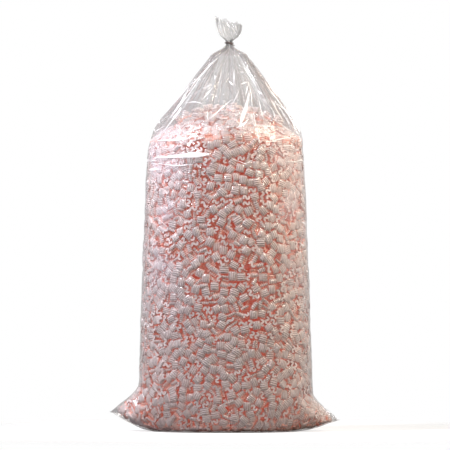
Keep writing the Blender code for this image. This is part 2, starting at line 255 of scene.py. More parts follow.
def pinkFoam():
    finish = Finish("pinkFoam")
    # painted shade between the peanuts: coral and darker the deeper a point lies below the film, with a
    # noisy edge
    shadeJitter = finish.noise(foam["shadeJitterScale"])
    depth = finish.attribute("depth") + (shadeJitter - 0.5) * foam["shadeJitterDepth"]
    shadedCrevice = finish.ease(depth, *foam["shadedCreviceDepths"])
    # rounded ribs round the strip, with narrow grooves, and half a rib at each end
    phase = finish.attribute("along") * (math.pi * foam["ribs"]) + math.pi / 2
    wave = phase.math("SINE", phase)
    wave = wave.math("ABSOLUTE", wave) ** foam["ribRoundness"]
    pale = finish.mix(finish.attribute("tint"), foam["face"], foam["blush"])
    # painted shade: the grooves between the ribs are painted darker
    pale = finish.mix(wave, foam["shadedGroove"], pale)
    colour = finish.mix(shadedCrevice, pale, foam["shadedCrevice"])
    # painted deep shade further down between the peanuts
    colour = finish.mix(finish.ease(depth, *foam["deepShadeDepths"]), colour, foam["deep"])
    cells = finish.node("ShaderNodeTexVoronoi", {"feature": "F1"},
                        {"Vector": finish.objectPlace(), "Scale": 1 / foam["cellSize"]}, "Distance")
    skin = finish.noise(foam["skinScale"])
    grain = finish.bump(cells + skin * foam["skinShare"], foam["cellStrength"], foam["cellDepth"])
    return finish.output(finish.node("ShaderNodeBsdfPrincipled", None, {
        "Base Color": colour, "Roughness": skin * foam["roughnessSpread"] + foam["roughness"],
        "Specular IOR Level": foam["specular"],
        "Coat Weight": foam["coat"], "Coat Roughness": foam["coatRoughness"],
        "Normal": finish.bump(wave, 1.0, foam["ribDepth"], grain),
        # a painted glow where the painted shade between the peanuts lies
        "Emission Color": finish.mix(shadedCrevice, (0.0, 0.0, 0.0), foam["paintedGlow"]),
        "Emission Strength": foam["paintedGlowStrength"]}))


film = {
    "tint": (0.905, 0.90, 0.895),        # what one layer lets through
    "darkRimTint": (0.24, 0.225, 0.21),     # painted dark rim: what it lets through where it turns away
    "body": (0.265, 0.27, 0.275),        # the milky part that it scatters
    "sideSheenBody": (0.82, 0.75, 0.84),      # painted sheen: lighter and lavender where its sides catch the light
    "outline": (0.16, 0.155, 0.145),     # painted dark rim: the milky part at its outermost edge
    # along the crumple ridges: partly the film's own stress whitening, partly painted highlight
    "creaseWhiteAndHighlight": (0.95, 0.95, 0.95),
    "looseFilmAndPaintedLightHaze": 0.23, "sideSheenHaze": 0.24, "rim": 0.26, "creaseHaze": 0.55, "glint": 0.16,
    "facing": 0.28, "rimSharpness": 4.5, "darkRimSharpness": 5, "edgeSharpness": 4, "glossFade": 6,
    "wrinkle": (34.0, 4.0, 0.62),        # scale, detail and roughness of its larger unevenness
    "fine": (150.0, 3.0, 0.6), "fineShare": 0.30, "glintFrom": 0.62, "glintTo": 0.75,
    "bumpStrength": 0.75, "bumpDepth": 0.005,
    "roughness": 0.16, "specular": 0.6, "glossRoughness": 0.07, "gloss": 0.6, "index": 1.45,
}


def clearFilm():
    finish = Finish("clearFilm")
    crease, sideSheen = finish.attribute("crease"), finish.attribute("sideSheen")
    edge = finish.node("ShaderNodeLayerWeight", None, {"Blend": film["facing"]}, "Facing")
    fine = finish.noise(*film["fine"])
    uneven = finish.bump(finish.noise(*film["wrinkle"]) + fine * film["fineShare"],
                         film["bumpStrength"], film["bumpDepth"])
    glint = finish.ease(fine, film["glintFrom"], film["glintTo"])
    share = (edge ** film["rimSharpness"]) * film["rim"] + crease * film["creaseHaze"]
    share = share + glint * film["glint"]
    # the loose film's haze, with painted sheen over the heap's dome and painted shade on the drawn-out
    # corners, and the painted sheen on the sides
    share = share + finish.attribute("looseFilmAndPaintedLight") * film["looseFilmAndPaintedLightHaze"] + sideSheen * film["sideSheenHaze"]
    # the milky colour, with painted sheen on the sides and a painted dark rim where the film turns away
    hazeAndPaintedLight = finish.mix(sideSheen.clamped(), film["body"], film["sideSheenBody"])
    hazeAndPaintedLight = finish.mix(edge ** film["darkRimSharpness"], hazeAndPaintedLight, film["outline"])
    coat = finish.node("ShaderNodeBsdfPrincipled", None, {
        "Base Color": finish.mix(crease, hazeAndPaintedLight, film["creaseWhiteAndHighlight"]), "Roughness": film["roughness"],
        "Specular IOR Level": film["specular"], "Normal": uneven})
    clear = finish.node("ShaderNodeBsdfTransparent", None, {"Color": film["tint"]})
    # painted dark rim: where the film turns away it lets less through, its milky part is darker and its
    # gloss fades
    dim = finish.node("ShaderNodeBsdfTransparent", None, {"Color": film["darkRimTint"]})
    clear = finish.blend(edge ** film["edgeSharpness"], clear, dim)
    gloss = finish.node("ShaderNodeBsdfAnisotropic", None,
                        {"Color": (1.0, 1.0, 1.0), "Roughness": film["glossRoughness"], "Normal": uneven})
    sheen = finish.node("ShaderNodeFresnel", None, {"IOR": film["index"], "Normal": uneven})
    shiny = finish.blend(sheen * film["gloss"] * (1.0 - edge ** film["glossFade"]), clear, gloss)
    return finish.output(finish.blend(share.clamped(), shiny, coat))


# the tucks: real folds of film, painted white with a slight glow as highlights along them
tuck = {"colour": (0.97, 0.97, 0.97), "roughness": 0.2, "specular": 0.9, "paintedGlow": 0.12,
        "breakScale": 120.0, "breakShare": 0.5, "unbroken": 0.75}


def highlightTuckFilm():
    finish = Finish("highlightTuckFilm")
    broken = finish.noise(tuck["breakScale"]) * tuck["breakShare"] + tuck["unbroken"]
    coat = finish.node("ShaderNodeBsdfPrincipled", None, {
        "Base Color": tuck["colour"], "Roughness": tuck["roughness"], "Specular IOR Level": tuck["specular"],
        "Emission Color": (1.0, 1.0, 1.0), "Emission Strength": tuck["paintedGlow"]})
    clear = finish.node("ShaderNodeBsdfTransparent", None, {"Color": (1.0, 1.0, 1.0)})
    return finish.output(finish.blend((finish.attribute("crease") * broken).clamped(), clear, coat))


wire = {"dark": (0.020, 0.012, 0.010), "worn": (0.080, 0.042, 0.032), "wearScale": 900.0,
        "roughness": 0.35, "roughnessSpread": 0.2, "bumpStrength": 0.3, "bumpDepth": 0.0002}


def darkWire():
    finish = Finish("darkWire")
    worn = finish.noise(wire["wearScale"])
    return finish.output(finish.node("ShaderNodeBsdfPrincipled", None, {
        "Base Color": finish.mix(worn, wire["dark"], wire["worn"]),
        "Roughness": worn * wire["roughnessSpread"] + wire["roughness"],
        "Normal": finish.bump(worn, wire["bumpStrength"], wire["bumpDepth"])}))


foamFinish = pinkFoam()
filmFinish = clearFilm()
highlightTuckFinish = highlightTuckFilm()
wireFinish = darkWire()
print("finishes made")


# the space that the peanuts fill, and a sheet deep inside it painted in dark shade
fill = {
    "filmGap": 0.0022, "earShare": 0.85, "columns": 168, "wallRows": 96, "domeRows": 22, "footRows": 10,
    "domeRise": 0.006, "poleShare": 0.04, "coreInset": 0.062, "coreCoarseness": 3, "coreShadeDepth": 0.075,
}


def fillSurface(inward, earShare, coarse=1):
    columns = fill["columns"] // coarse
    edge = bag["heapEdge"]
    rows = []
    for share in np.linspace(fill["poleShare"], 1, fill["footRows"] // coarse)[:-1]:
        ring = wallPoints(ringAngles(columns, 0.0), 0.0, inward, 0.0)
        rows.append(ring * (share, share, 1) + (0, 0, inward))
    for height in np.linspace(0.0, edge, fill["wallRows"] // coarse):
        angles = ringAngles(columns, height)
        ring = wallPoints(angles, height, inward, earShare)
        ring[:, 2] = np.maximum(ring[:, 2], inward)
        rows.append(ring)
    rim = rows[-1].copy()
    middle = np.array((neckLean(edge), 0.0, edge))
    for share in np.linspace(1, fill["poleShare"], fill["domeRows"] // coarse)[1:]:
        ring = middle + (rim - middle) * share
        ring[:, 2] = edge + (bag["heapTop"] + fill["domeRise"] - edge) * (1 - share * share) - inward
        rows.append(ring)
    points = np.concatenate(rows)
    faces = gridFaces(len(rows), columns)
    last = len(points) - columns
    faces = [tuple(f) for f in faces.tolist()]
    faces.append(tuple(range(columns - 1, -1, -1)))
    faces.append(tuple(range(last, last + columns)))
    return points, faces


def surfaceTree(points, faces):
    return BVHTree.FromPolygons([Vector(p) for p in points.tolist()], faces)


fillPoints, fillFaces = fillSurface(fill["filmGap"], fill["earShare"])
fillTree = surfaceTree(fillPoints, fillFaces)


def nearestOn(tree, points):
    # the nearest places on a surface, and its normals there
    found = [tree.find_nearest(Vector(p)) for p in points.tolist()]
    return (np.array([f[0][:] for f in found]), np.array([f[1][:] for f in found]))


def scatterOn(points, faces, count, chance):
    quads = np.array([f for f in faces if len(f) == 4])
    corners = points[quads]
    halves = np.concatenate((corners[:, [0, 1, 2]], corners[:, [0, 2, 3]]))
    areas = np.linalg.norm(np.cross(halves[:, 1] - halves[:, 0], halves[:, 2] - halves[:, 0]), axis=1) / 2
    # evenly spaced shares of the whole area keep the spread even
    ladder = (np.arange(count) + chance.random(count)) / count * areas.sum()
    order = chance.permutation(len(areas))
    chosen = order[np.clip(np.searchsorted(np.cumsum(areas[order]), ladder), 0, len(areas) - 1)]
    u, v = chance.random((2, count, 1))
    flip = u + v > 1
    u, v = np.where(flip, 1 - u, u), np.where(flip, 1 - v, v)
    tri = halves[chosen]
    return tri[:, 0] + u * (tri[:, 1] - tri[:, 0]) + v * (tri[:, 2] - tri[:, 0]), areas.sum()


peanut = {
    "length": 0.040, "width": 0.033, "height": 0.022,
    # places across it, and the outline's size at each
    "roundEnds": ((-1.0, 0.70), (-0.76, 1.0), (0.76, 1.0), (1.0, 0.70)),
    "cutEnds": ((-1.0, 0.95), (1.0, 0.95)), "tipReach": 0.36, "sharpFrom": math.radians(80),
    "curled": {"steps": 14, "wall": 0.0090, "radius": 0.0061, "turn": math.radians(205),
               "lean": math.radians(-88)},
    "fat": {"steps": 7, "squareness": 2.7},
    "wavy": {"steps": 10, "wall": 0.0100, "curl": 1.1},
    "plain": {"steps": 5, "wall": 0.0110, "curl": 1.0},
}


def stripOutline(centres, ways, wall):
    # a strip of even thickness with round tips: its left tip, its lower side, and back along the upper one
    sides = [Vector((-way.y, way.x)) * wall / 2 for way in ways]
    lower = [centre - side for centre, side in zip(centres, sides)]
    upper = [centre + side for centre, side in zip(centres, sides)]
    reach = peanut["tipReach"] * wall
    return [centres[0] - ways[0] * reach, *lower, centres[-1] + ways[-1] * reach, *reversed(upper)]


def waveOutline(steps, wall, curl):
    length = peanut["length"] - wall
    rise = (peanut["height"] - wall) / 2 * curl
    shares = [k / steps for k in range(steps + 1)]
    centres = [Vector((length * (t - 0.5), rise * math.sin(2 * math.pi * t))) for t in shares]
    slope = rise * 2 * math.pi / length
    ways = [Vector((1, slope * math.cos(2 * math.pi * t))).normalized() for t in shares]
    return stripOutline(centres, ways, wall)


def hookOutline(steps, wall, radius, turn, lean):
    # two arcs that curl opposite ways, with their middle in the strip's middle
    ways, centres = [], [Vector((0, 0))]
    stretch = 2 * radius * turn / steps
    for k in range(steps + 1):
        heading = turn * abs(2 * k / steps - 1) + lean
        ways.append(Vector((math.cos(heading), math.sin(heading))))
    for first, second in zip(ways, ways[1:]):
        centres.append(centres[-1] + (first + second).normalized() * stretch)
    middle = (centres[0] + centres[-1]) / 2
    return stripOutline([centre - middle for centre in centres], ways, wall)


def ovalOutline(steps, squareness):
    # a tightly rolled one, as round as a barrel
    made = []
    for k in range(2 * steps):
        turn = math.pi * (1 + k / steps)
        ways = (math.cos(turn), peanut["length"] / 2), (math.sin(turn), peanut["height"] / 2)
        made.append(Vector([math.copysign(abs(way) ** (2 / squareness), way) * half for way, half in ways]))
    return made


def peanutShape(name, material, outline, stations):
    bm = bmesh.new()
    rings = []
    for place, size in stations:
        ring = []
        for k, point in enumerate(outline):
            mate = outline[(len(outline) - k) % len(outline)]
            spine = (point + mate) / 2
            ring.append(bm.verts.new((*(spine + (point - spine) * size), place * peanut["width"] / 2)))
        rings.append(ring)
    for low, high in zip(rings, rings[1:]):
        for k in range(len(low)):
            bm.faces.new((low[k], low[(k + 1) % len(low)], high[(k + 1) % len(low)], high[k]))
    for ring in (rings[0], rings[-1]):   # the S-shaped ends, in strips from side to side
        for k in range(len(ring) // 2):
            low, high = k, len(ring) - k
            corners = [ring[low], ring[low + 1], ring[high - 1], ring[high % len(ring)]]
            bm.faces.new(list(dict.fromkeys(corners)))
    bmesh.ops.recalc_face_normals(bm, faces=bm.faces)
    mesh = bpy.data.meshes.new(name)
    bm.to_mesh(mesh)
    bm.free()
    mesh.materials.append(material)
    mesh.shade_smooth()
    mesh.set_sharp_from_angle(angle=peanut["sharpFrom"])
    setAttribute(mesh, "along", meshPoints(mesh)[:, 2] / peanut["width"] + 0.5)
    return bpy.data.objects.new(name, mesh)


crowd = {
    "shares": (0.58, 0.25, 0.17),        # lying on the film, end to the film, on its side
    "kinds": ((0.0, 0.85, 0.15), (0.75, 0.0, 0.25), (0.20, 0.50, 0.30)),    # curled, fat, wavy ones
    "circle": 0.0096, "reach": 0.062, "renewed": 6, "push": 0.22, "furthest": 0.006,
    "twist": 900, "mostTwist": 0.25, "sink": 0.0022, "sizes": (0.82, 0.98), "looseGap": 0.020,
    "halfBox": (0.42, 0.42, 0.46), "smallest": 0.70, "pokeLimit": 0.006, "tries": 7,
    "looseSize": (1.10, 1.0, 1.09),      # makes a wavy one as large as the model's loose peanuts
    "looseRise": 0.012,                  # how far they stand above the space for the others
    "corner": (0.33, 0.41), "cornerPale": 0.6,      # the painted shade is lighter at the drawn-out corners, which let more light in
    "seed": 11,
}
beds = {
    "outer": {"seed": 5, "spacing": 0.00090, "sunk": 0.0, "rounds": 170, "lean": 0.16},
    # the deeper beds' last value is taken off their depth for the painted shade, so it is lighter
    "second": {"seed": 6, "spacing": 0.00105, "sunk": 0.016, "rounds": 24, "lean": 0.6, "lifted": 0.007},
    "third": {"seed": 7, "spacing": 0.00180, "sunk": 0.038, "rounds": 0, "lean": 0.8, "lifted": 0.008},
}

# where a peanut's covering circles lie along and across its face, for each way of lying
layOffsets = np.array([
    [(-0.0100, -0.0065), (0.0100, -0.0065), (-0.0100, 0.0065), (0.0100, 0.0065)],
    [(-0.0100, 0.0), (-0.0035, 0.0), (0.0035, 0.0), (0.0100, 0.0)],
    [(-0.0065, 0.0), (-0.002, 0.0), (0.002, 0.0), (0.0065, 0.0)],
])
layDepths = np.array((peanut["height"] / 2, peanut["width"] / 2, peanut["length"] / 2))


def settle(places, along, lays, fixedPlaces, rounds):
    # pushes the peanuts apart over the surface until their circles only just overlap
    count = len(places)
    for step in range(rounds):
        places, normals = nearestOn(fillTree, places)
        along = unit(along - normals * np.sum(along * normals, axis=1, keepdims=True))
        across = np.cross(normals, along)
        if step % crowd["renewed"] == 0:
            everyone = np.concatenate((places, fixedPlaces))
            finder = KDTree(len(everyone))
            for k, point in enumerate(everyone.tolist()):
                finder.insert(point, k)
            finder.balance()
            near = [finder.find_range(point, crowd["reach"]) for point in everyone[:count].tolist()]
            pairs = np.array([(k, j) for k in range(count) for _, j, _ in near[k] if j > k])
        arms = along[:, None] * layOffsets[lays][:, :, :1] + across[:, None] * layOffsets[lays][:, :, 1:]
        circles = places[:, None] + arms
        if len(fixedPlaces):
            circles = np.concatenate((circles, np.repeat(fixedPlaces[:, None], 4, axis=1)))
        a, b = pairs.T
        gap = circles[a][:, :, None] - circles[b][:, None]
        far = np.linalg.norm(gap, axis=-1)
        over = np.clip(2 * crowd["circle"] - far, 0, None)
        push = gap / np.maximum(far, 1e-6)[..., None] * over[..., None] * crowd["push"]
        move = np.zeros((len(circles), 3))
        twist = np.zeros(len(circles))
        np.add.at(move, a, push.sum(axis=(1, 2)) / 2)
        np.add.at(move, b, -push.sum(axis=(1, 2)) / 2)
        turnA = np.cross(arms[a][:, :, None], push)
        np.add.at(twist, a, np.sum(turnA * normals[a][:, None, None], axis=(1, 2, 3)))
        inside = b < count
        turnB = np.cross(arms[b[inside]][:, None], -push[inside])
        np.add.at(twist, b[inside], np.sum(turnB * normals[b[inside]][:, None, None], axis=(1, 2, 3)))
        places = places + np.clip(move[:count], -crowd["furthest"], crowd["furthest"])
        angle = np.clip(twist[:count] * crowd["twist"], -crowd["mostTwist"], crowd["mostTwist"])[:, None]
        along = unit(along * np.cos(angle) + across * np.sin(angle))
    places, normals = nearestOn(fillTree, places)
    along = unit(along - normals * np.sum(along * normals, axis=1, keepdims=True))
    return places, normals, along


def turnFor(lay, along, normal):
    across = np.cross(normal, along)
    if lay == 0:
        axes = (along, normal, np.cross(along, normal))
    elif lay == 1:
        axes = (along, across, normal)
    else:
        axes = (normal, np.cross(along, normal), along)
    return Matrix([Vector(axis) for axis in axes]).transposed()


corners = np.array([(x, y, z) for x in (-1, 1) for y in (-1, 1) for z in (-1, 1)]) * crowd["halfBox"]
corners = corners * (peanut["length"], peanut["height"], peanut["width"])


def keepInside(centres, turns, sizes):
    # draws back what would poke through the film, makes it smaller if need be, and tells what fits
    for shrink in (crowd["smallest"], 1.0):
        arms = np.einsum("nij,nkj->nki", turns, corners[None] * sizes[:, None])
        for _ in range(crowd["tries"]):
            places = (centres[:, None] + arms).reshape(-1, 3)
            nearest, normals = nearestOn(fillTree, places)
            out = np.sum((places - nearest) * normals, axis=1).reshape(-1, 8)
            worst = out.argmax(axis=1)
            excess = np.clip(out[np.arange(len(out)), worst], 0, None)
            ways = normals.reshape(-1, 8, 3)[np.arange(len(out)), worst]
            centres = centres - ways * excess[:, None]
        tight = excess > crowd["pokeLimit"]
        sizes = np.where(tight[:, None], sizes * shrink, sizes)
    return centres, sizes, ~tight


def choose(bed, which):
    return {name: values[which] for name, values in bed.items()}


def peanutBed(name, fixedPlaces):
    # one layer of peanuts under the film, with the surface above each
    bed = beds[name]
    chance = np.random.default_rng(bed["seed"])
    _, area = scatterOn(fillPoints, fillFaces, 4, chance)
    count = int(area / bed["spacing"])
    places, _ = scatterOn(fillPoints, fillFaces, count, chance)
    along = unit(chance.normal(size=(count, 3)))
    lays = chance.choice(3, count, p=crowd["shares"])
    places, normals, along = settle(places, along, lays, fixedPlaces, bed["rounds"])
    for fixed in fixedPlaces:            # nothing goes where the loose peanuts of the model lie
        keep = np.linalg.norm(places - fixed, axis=1) > crowd["looseGap"]
        places, normals, along, lays = places[keep], normals[keep], along[keep], lays[keep]
    depth = layDepths[lays] + bed["sunk"] + np.abs(chance.normal(0, crowd["sink"], len(places)))
    turns = []
    for lay, way, normal in zip(lays, along, normals):
        axis = Vector(chance.normal(size=3)).normalized()
        tilt = Matrix.Rotation(chance.normal(0, bed["lean"]), 3, axis)
        turns.append(tilt @ turnFor(lay, way, normal))
    turns = np.array(turns)
    sizes = chance.uniform(*crowd["sizes"], (len(places), 3))
    centres, sizes, fits = keepInside(places - normals * depth[:, None], turns, sizes)
    print(name, "bed:", fits.sum(), "peanuts")
    return choose({"centres": centres, "turns": turns, "sizes": sizes,
                   "places": places, "normals": normals, "lays": lays}, fits)


def scatterTree():
    # peanuts on points: each point gives its turn, its size and which shape it takes
    tree = bpy.data.node_groups.new("peanutScatter", "GeometryNodeTree")
    face = tree.interface
    face.new_socket("Points", in_out="INPUT", socket_type="NodeSocketGeometry")
    shapes = face.new_socket("Shapes", in_out="INPUT", socket_type="NodeSocketCollection")
    size = face.new_socket("Size", in_out="INPUT", socket_type="NodeSocketFloat")
    finish = face.new_socket("Finish", in_out="INPUT", socket_type="NodeSocketMaterial")
    face.new_socket("Peanuts", in_out="OUTPUT", socket_type="NodeSocketGeometry")
    new, link = tree.nodes.new, tree.links.new
    begin, end = new("NodeGroupInput"), new("NodeGroupOutput")
    info = new("GeometryNodeCollectionInfo")
    info.inputs["Separate Children"].default_value = True
    info.inputs["Reset Children"].default_value = True
    link(begin.outputs["Shapes"], info.inputs["Collection"])
    named = {}
    for name, kind in (("turn", "QUATERNION"), ("stretch", "FLOAT_VECTOR"), ("kind", "INT")):
        named[name] = new("GeometryNodeInputNamedAttribute")
        named[name].data_type = kind
        named[name].inputs["Name"].default_value = name
    scale = new("ShaderNodeVectorMath")
    scale.operation = "SCALE"
    link(named["stretch"].outputs[0], scale.inputs[0])
    link(begin.outputs["Size"], scale.inputs["Scale"])
    place = new("GeometryNodeInstanceOnPoints")
    place.inputs["Pick Instance"].default_value = True
    link(begin.outputs["Points"], place.inputs["Points"])
    link(info.outputs[0], place.inputs["Instance"])
    link(named["kind"].outputs[0], place.inputs["Instance Index"])
    link(named["turn"].outputs[0], place.inputs["Rotation"])
    link(scale.outputs[0], place.inputs["Scale"])
    solid = new("GeometryNodeRealizeInstances")
    paint = new("GeometryNodeSetMaterial")
    link(place.outputs[0], solid.inputs[0])
    link(solid.outputs[0], paint.inputs["Geometry"])
    link(begin.outputs["Finish"], paint.inputs["Material"])
    link(paint.outputs[0], end.inputs[0])
    return tree, {"shapes": shapes.identifier, "size": size.identifier, "finish": finish.identifier}


peanutScatter, scatterInputs = scatterTree()


def shapeCollection(name, shapes):
    group = bpy.data.collections.new(name)
    for shape in shapes:
        group.objects.link(shape)
    return group


ribbed = shapeCollection("ribbedPeanuts", [
    peanutShape("curledPeanut", foamFinish, hookOutline(**peanut["curled"]), peanut["cutEnds"]),
    peanutShape("fatPeanut", foamFinish, ovalOutline(**peanut["fat"]), peanut["roundEnds"]),
    peanutShape("wavyPeanut", foamFinish, waveOutline(**peanut["wavy"]), peanut["cutEnds"]),
])
plain = shapeCollection("plainPeanuts", [
    peanutShape("plainPeanut", foamFinish, waveOutline(**peanut["plain"]), peanut["cutEnds"]),
])


def scatterPeanuts(name, bed, kinds, group, chance, lifted=0.0):
    tints = chance.random(len(bed["centres"]))
    points = bpy.data.meshes.new(name + "Points")
    points.from_pydata(bed["centres"].tolist(), [], [])
    turns = [Matrix(turn.tolist()).to_quaternion()[:] for turn in bed["turns"]]
    given = (("turn", "QUATERNION", "value", turns), ("stretch", "FLOAT_VECTOR", "vector", bed["sizes"]),
             ("kind", "INT", "value", kinds), ("number", "INT", "value", range(len(tints))))
    for label, kind, key, values in given:
        layer = points.attributes.new(label, kind, "POINT")
        layer.data.foreach_set(key, np.array(values, np.int32 if kind == "INT" else np.float32).ravel())
    holder = inScene(name + "Points", points)
    scatter = holder.modifiers.new("scatter", "NODES")
    scatter.node_group = peanutScatter
    scatter[scatterInputs["shapes"]] = group
    scatter[scatterInputs["size"]] = 1.0
    scatter[scatterInputs["finish"]] = foamFinish
    mesh = meshOf(holder, name)
    owner = np.empty(len(mesh.vertices), np.int32)
    mesh.attributes["number"].data.foreach_get("value", owner)
    found = meshPoints(mesh)
    depth = np.sum((bed["places"][owner] - found) * bed["normals"][owner], axis=1)
    # the depth below the film sets each point's painted shade between the peanuts; less of it on the deeper
    # beds and at the drawn-out corners
    cornerwards = smoothStep(np.abs(found[:, 0]), *crowd["corner"])
    setAttribute(mesh, "depth", (depth - lifted) * (1 - crowd["cornerPale"] * cornerwards))
    setAttribute(mesh, "tint", tints[owner])
    for label, *_ in given:
        if mesh.attributes.get(label):
            mesh.attributes.remove(mesh.attributes[label])
    return inScene(name, mesh)


def loosePlace(node):
    # where a loose peanut of the model lies: its ends are its only large flat faces
    mesh = node.data
    points = meshPoints(mesh)
    areas, ways = {}, {}
    for face in mesh.polygons:
        key = tuple(round(v, 1) for v in (face.normal if face.normal[:] > (0, 0, 0) else -face.normal))
        areas[key] = areas.get(key, 0) + face.area
        ways.setdefault(key, face.normal.copy())
    across = np.array(ways[max(areas, key=areas.get)][:])
    flat = points - np.outer(points @ across, across)
    gaps = np.linalg.norm(flat[:, None] - flat[None], axis=2)
    first, last = np.unravel_index(gaps.argmax(), gaps.shape)
    middle = (points[first] + points[last]) / 2
    reach = points @ across
    middle = middle + across * (np.mean([reach.max(), reach.min()]) - middle @ across)
    ends = unit(flat[last] - flat[first])
    upward = np.cross(across, ends)
    x, y = (points - middle) @ ends, (points - middle) @ upward
    if np.sum(x * y) < 0:                # the S runs the other way, so look at it from its other end
        across, upward = -across, -upward
    return middle, Matrix([Vector(v) for v in (ends, upward, across)]).transposed()


looseNodes = sorted(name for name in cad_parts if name.startswith("loose_peanut"))
loosePlaces, looseTurns = (np.array(values) for values in
                           zip(*(loosePlace(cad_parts[name]) for name in looseNodes)))
chance = np.random.default_rng(crowd["seed"])

outer = peanutBed("outer", loosePlaces)
pieces = []
levels = np.array_split(np.argsort(outer["centres"][:, 2]), 3)
for name, level in zip(("peanutsLow", "peanutsMiddle", "peanutsHigh"), levels):
    part = choose(outer, level)
    # thick ribbed ones mostly lie on their backs, and curled ones mostly show their ends
    kinds = [chance.choice(3, p=crowd["kinds"][lay]) for lay in part["lays"]]
    pieces.append(scatterPeanuts(name, part, kinds, ribbed, chance))

# the model's own loose peanuts, ribbed, where they lie
looseTops, looseNormals = nearestOn(fillTree, loosePlaces)
# their painted shade counts depth from a surface a little above the space for the others
looseBed = {"centres": loosePlaces, "turns": looseTurns, "sizes": [crowd["looseSize"]] * len(loosePlaces),
            "places": looseTops + looseNormals * crowd["looseRise"], "normals": looseNormals}
loosePeanuts = scatterPeanuts("loosePeanuts", looseBed, [2] * len(loosePlaces), ribbed, chance)

for name in ("second", "third"):
    bed = peanutBed(name, np.zeros((0, 3)))
    pieces.append(scatterPeanuts(name + "Peanuts", bed, [0] * len(bed["centres"]), plain, chance,
                                 beds[name]["lifted"]))

# a sheet deep inside the fill, painted in the deep shade and glow, stands for the peanuts in shade there
corePoints, coreFaces = fillSurface(fill["coreInset"], 0.0, fill["coreCoarseness"])
core = meshObject("peanutCore", corePoints, coreFaces, foamFinish)
setAttribute(core.data, "depth", np.full(len(corePoints), fill["coreShadeDepth"]))
setAttribute(core.data, "tint", np.zeros(len(corePoints)))
pieces.append(core)
for piece in (*pieces, loosePeanuts):
    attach(piece, "root")
    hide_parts("peanut_heap")
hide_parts(*looseNodes)
print("peanuts in place")


sheet = {
    "columns": 310, "footRows": 8, "bodyRows": 176, "coneRows": 74, "neckRows": 12, "mouthRows": 26,
    "wallTop": 1.02, "poleShare": 0.02, "footLift": 0.0002,
    "drape": 0.0055, "clearance": 0.0007, "drapeRise": 0.006, "rayRise": 0.012, "rayDepth": 0.03,
    "foldCounts": (12, 24, 48), "foldWeights": (0.50, 0.32, 0.18), "foldSeed": 3,
    "drift": 2.2, "driftWaves": (1, 2, 3, 5), "driftSizes": (0.2, 0.5), "driftRise": (1, 4),
    "anyTurn": (0, 6.28),
    "foldDepth": 0.030, "foldShare": 0.45, "foldRows": (-0.02, 0.16),      # from the heap's edge upwards
    "neckPinch": (0.34, 0.86), "neckBend": 0.8, "mouthOpening": 0.62, "mouthOpened": 0.30,
    "mouthTwist": 0.25, "mouthDrift": 0.3, "mouthRuffle": 0.10,
    "mouthSpread": ((0, 0.10, 0.26, 0.46, 0.70, 1.0), (0, 0.14, 0.52, 0.77, 0.94, 1.0)),
    "crumple": 0.00175, "crumpleScale": (9, 9, 7), "crumpleFrom": 0.75, "crumpleHaze": 0.8,
    "smallCrumples": 2.7, "smallShare": 0.4,
    "ruffles": ((3, 7.3), (9, 1.7)),     # how fine the large and the small ones are, and where they are read
    # painted sheen over the heap's dome and painted shade that greys the drawn-out corners
    "rimRuffle": 0.007, "rimRuffleShare": 1.3, "domeSheen": 0.7, "earShade": 0.8, "earRange": (0.39, 0.43),
    # where the painted sheen on the sides of the upper body lies
    "sideSheenFrom": (0.20, 0.80), "sideSheenTo": (1.10, 1.18), "sideSheenSides": (0.05, 0.24), "sideSheenScale": 9.0,
}


def foldPattern(angle, height):
    # 0 on the outer edges of the gathers, up to 1 in the valleys between them
    total = 0
    for count, weight in zip(sheet["foldCounts"], sheet["foldWeights"]):
        rng = random.Random(sheet["foldSeed"] + count)
        drift = 0
        for k in sheet["driftWaves"]:
            size, turn = rng.uniform(*sheet["driftSizes"]) / k, rng.uniform(*sheet["anyTurn"])
            drift = drift + size * np.sin(k * angle + turn + rng.uniform(*sheet["driftRise"]) * height)
        start = rng.uniform(*sheet["anyTurn"])
        total = total + weight * np.abs(np.sin((count * angle + start) / 2 + drift * sheet["drift"]))
    return total


